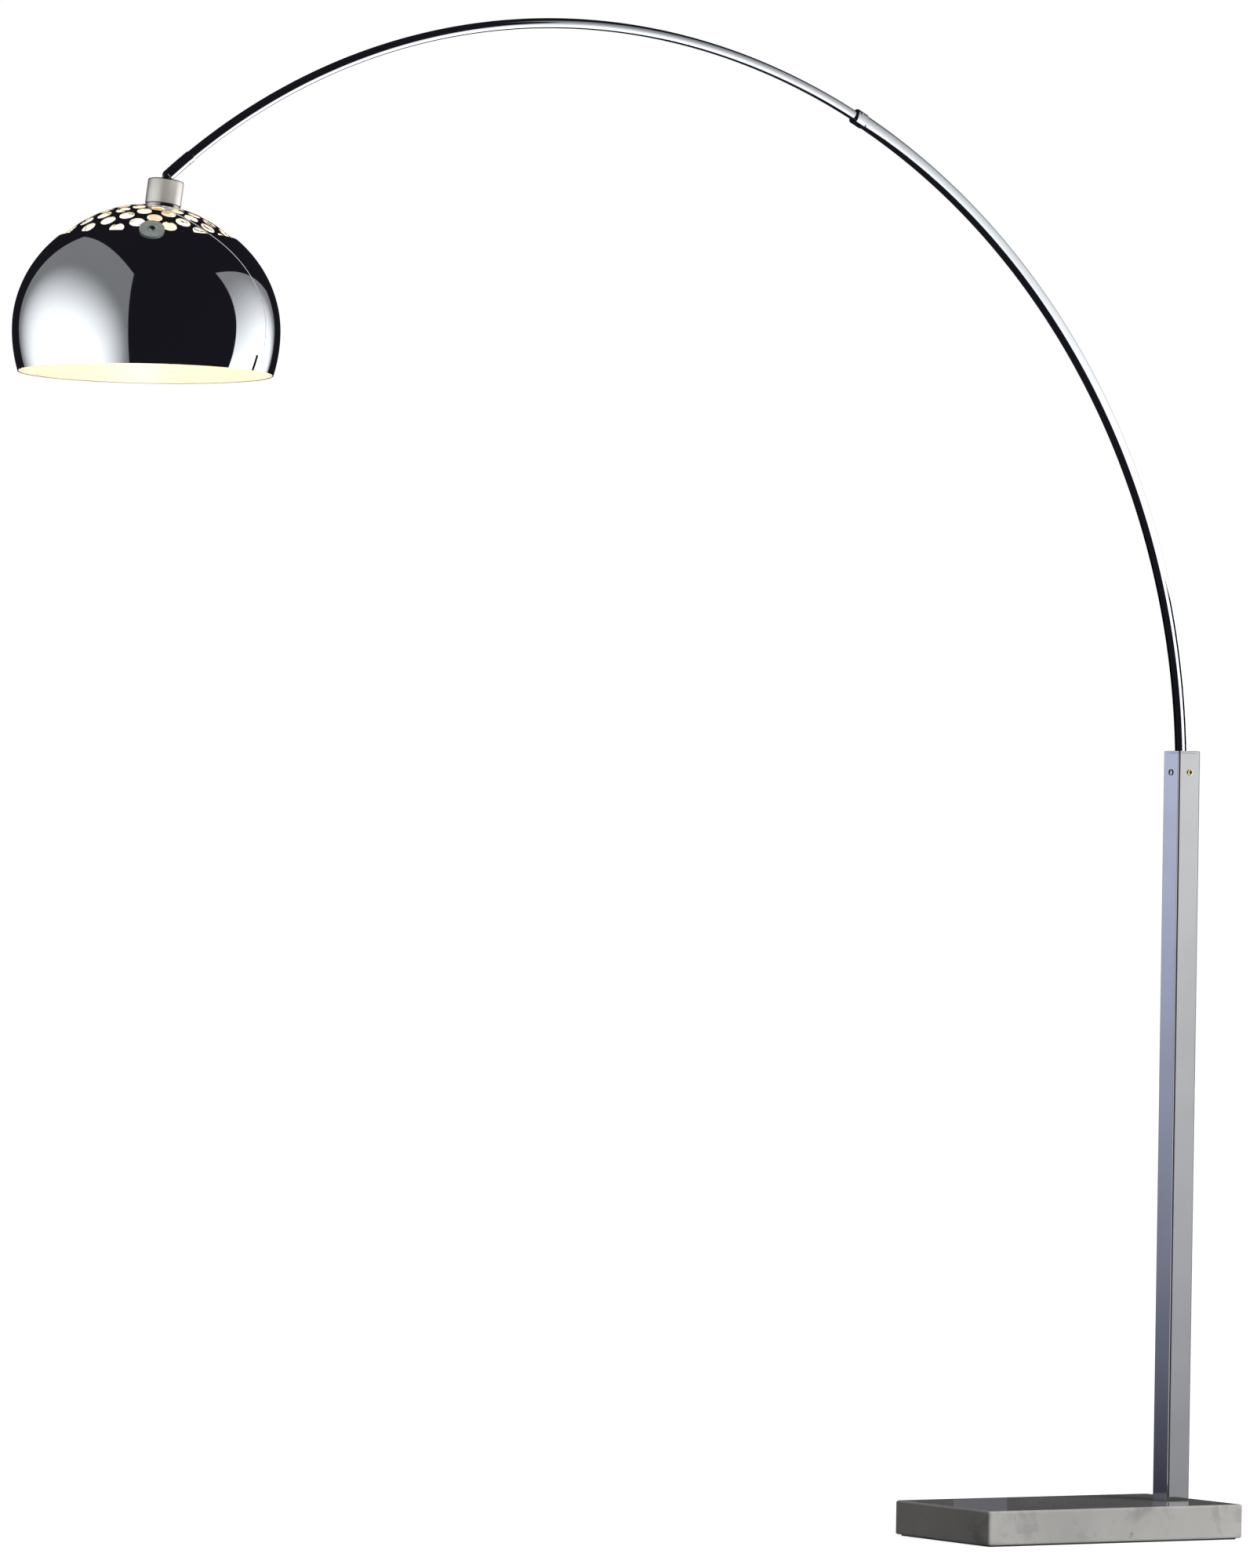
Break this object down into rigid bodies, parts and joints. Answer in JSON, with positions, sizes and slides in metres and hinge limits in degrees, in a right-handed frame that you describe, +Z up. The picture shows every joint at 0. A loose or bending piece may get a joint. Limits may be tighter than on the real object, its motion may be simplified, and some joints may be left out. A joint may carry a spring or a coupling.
{
  "type": "arc floor lamp",
  "caption": "Arc floor lamp: marble slab, square chrome pole, telescoping curved arm, and a tilting chrome dome with a perforated cap.",
  "frame": {"origin": "on the floor under the pole's axis", "axes": "+Z up along the pole, the arm sweeps towards -X, +Y is the back of the lamp"},
  "size_m": [1.9654, 0.36, 2.132],
  "materials": {
    "marble": "polished pale grey marble with soft veins",
    "felt": "dark felt",
    "chrome": "mirror polished chrome plate",
    "polished_shade": "spun aluminium with a mirror chrome finish",
    "satin_nickel": "satin nickel",
    "steel": "bright zinc-plated steel",
    "brass": "plain brass",
    "nylon": "moulded nylon",
    "rubber": "matt rubber",
    "ceramic": "white glazed ceramic",
    "clear_plastic": "translucent grey-green plastic",
    "bulb": "frosted warm white glass, lit"
  },
  "bodies": {
    "base": {"floor_pad": "felt", "marble_slab": "marble", "base_washer": "steel", "base_bolt": "steel", "pole_foot_plug": "steel", "pole_tube": "chrome", "arm_bush": "nylon", "pole_top_cap": "chrome", "clamp_screw_front": "brass", "clamp_screw_left": "steel", "cable_grommet": "rubber", "pole_lead": "rubber", "lower_arm_tube": "chrome", "arm_ferrule": "chrome", "ferrule_screw": "steel"},
    "upper_arm": {"upper_arm_tube": "chrome", "guide_plug": "nylon", "tip_sleeve": "chrome", "arm_lead": "rubber", "knuckle": "satin_nickel"},
    "head": {"neck_cup": "satin_nickel", "neck_flange": "chrome", "pivot_fork": "steel", "pivot_pin": "steel", "threaded_nipple": "brass", "perforated_cap": "polished_shade", "socket_nut": "brass", "lamp_socket": "ceramic", "centre_contact": "brass", "bulb_screw_base": "steel", "bulb_glass": "bulb"},
    "reflector": {"reflector": "polished_shade", "edge_clip_1": "clear_plastic", "clip_screw_1": "steel", "edge_clip_2": "clear_plastic", "clip_screw_2": "steel", "edge_clip_3": "clear_plastic", "clip_screw_3": "steel"}
  },
  "joints": [
    {"name": "arm_extension", "type": "hinge", "parent": "base", "child": "upper_arm", "pos_m": [-1.022, 0, 1.103], "axis": [0, -1, 0], "range_deg": [-28, 4]},
    {"name": "head_tilt", "type": "hinge", "parent": "upper_arm", "child": "head", "pos_m": [-1.70506, 0, 1.84743], "axis": [0, 1, 0], "range_deg": [-18, 25]},
    {"name": "reflector_tilt", "type": "hinge", "parent": "head", "child": "reflector", "pos_m": [-1.7294, 0, 1.66], "axis": [0, 1, 0], "range_deg": [-4, 20]}
  ]
}
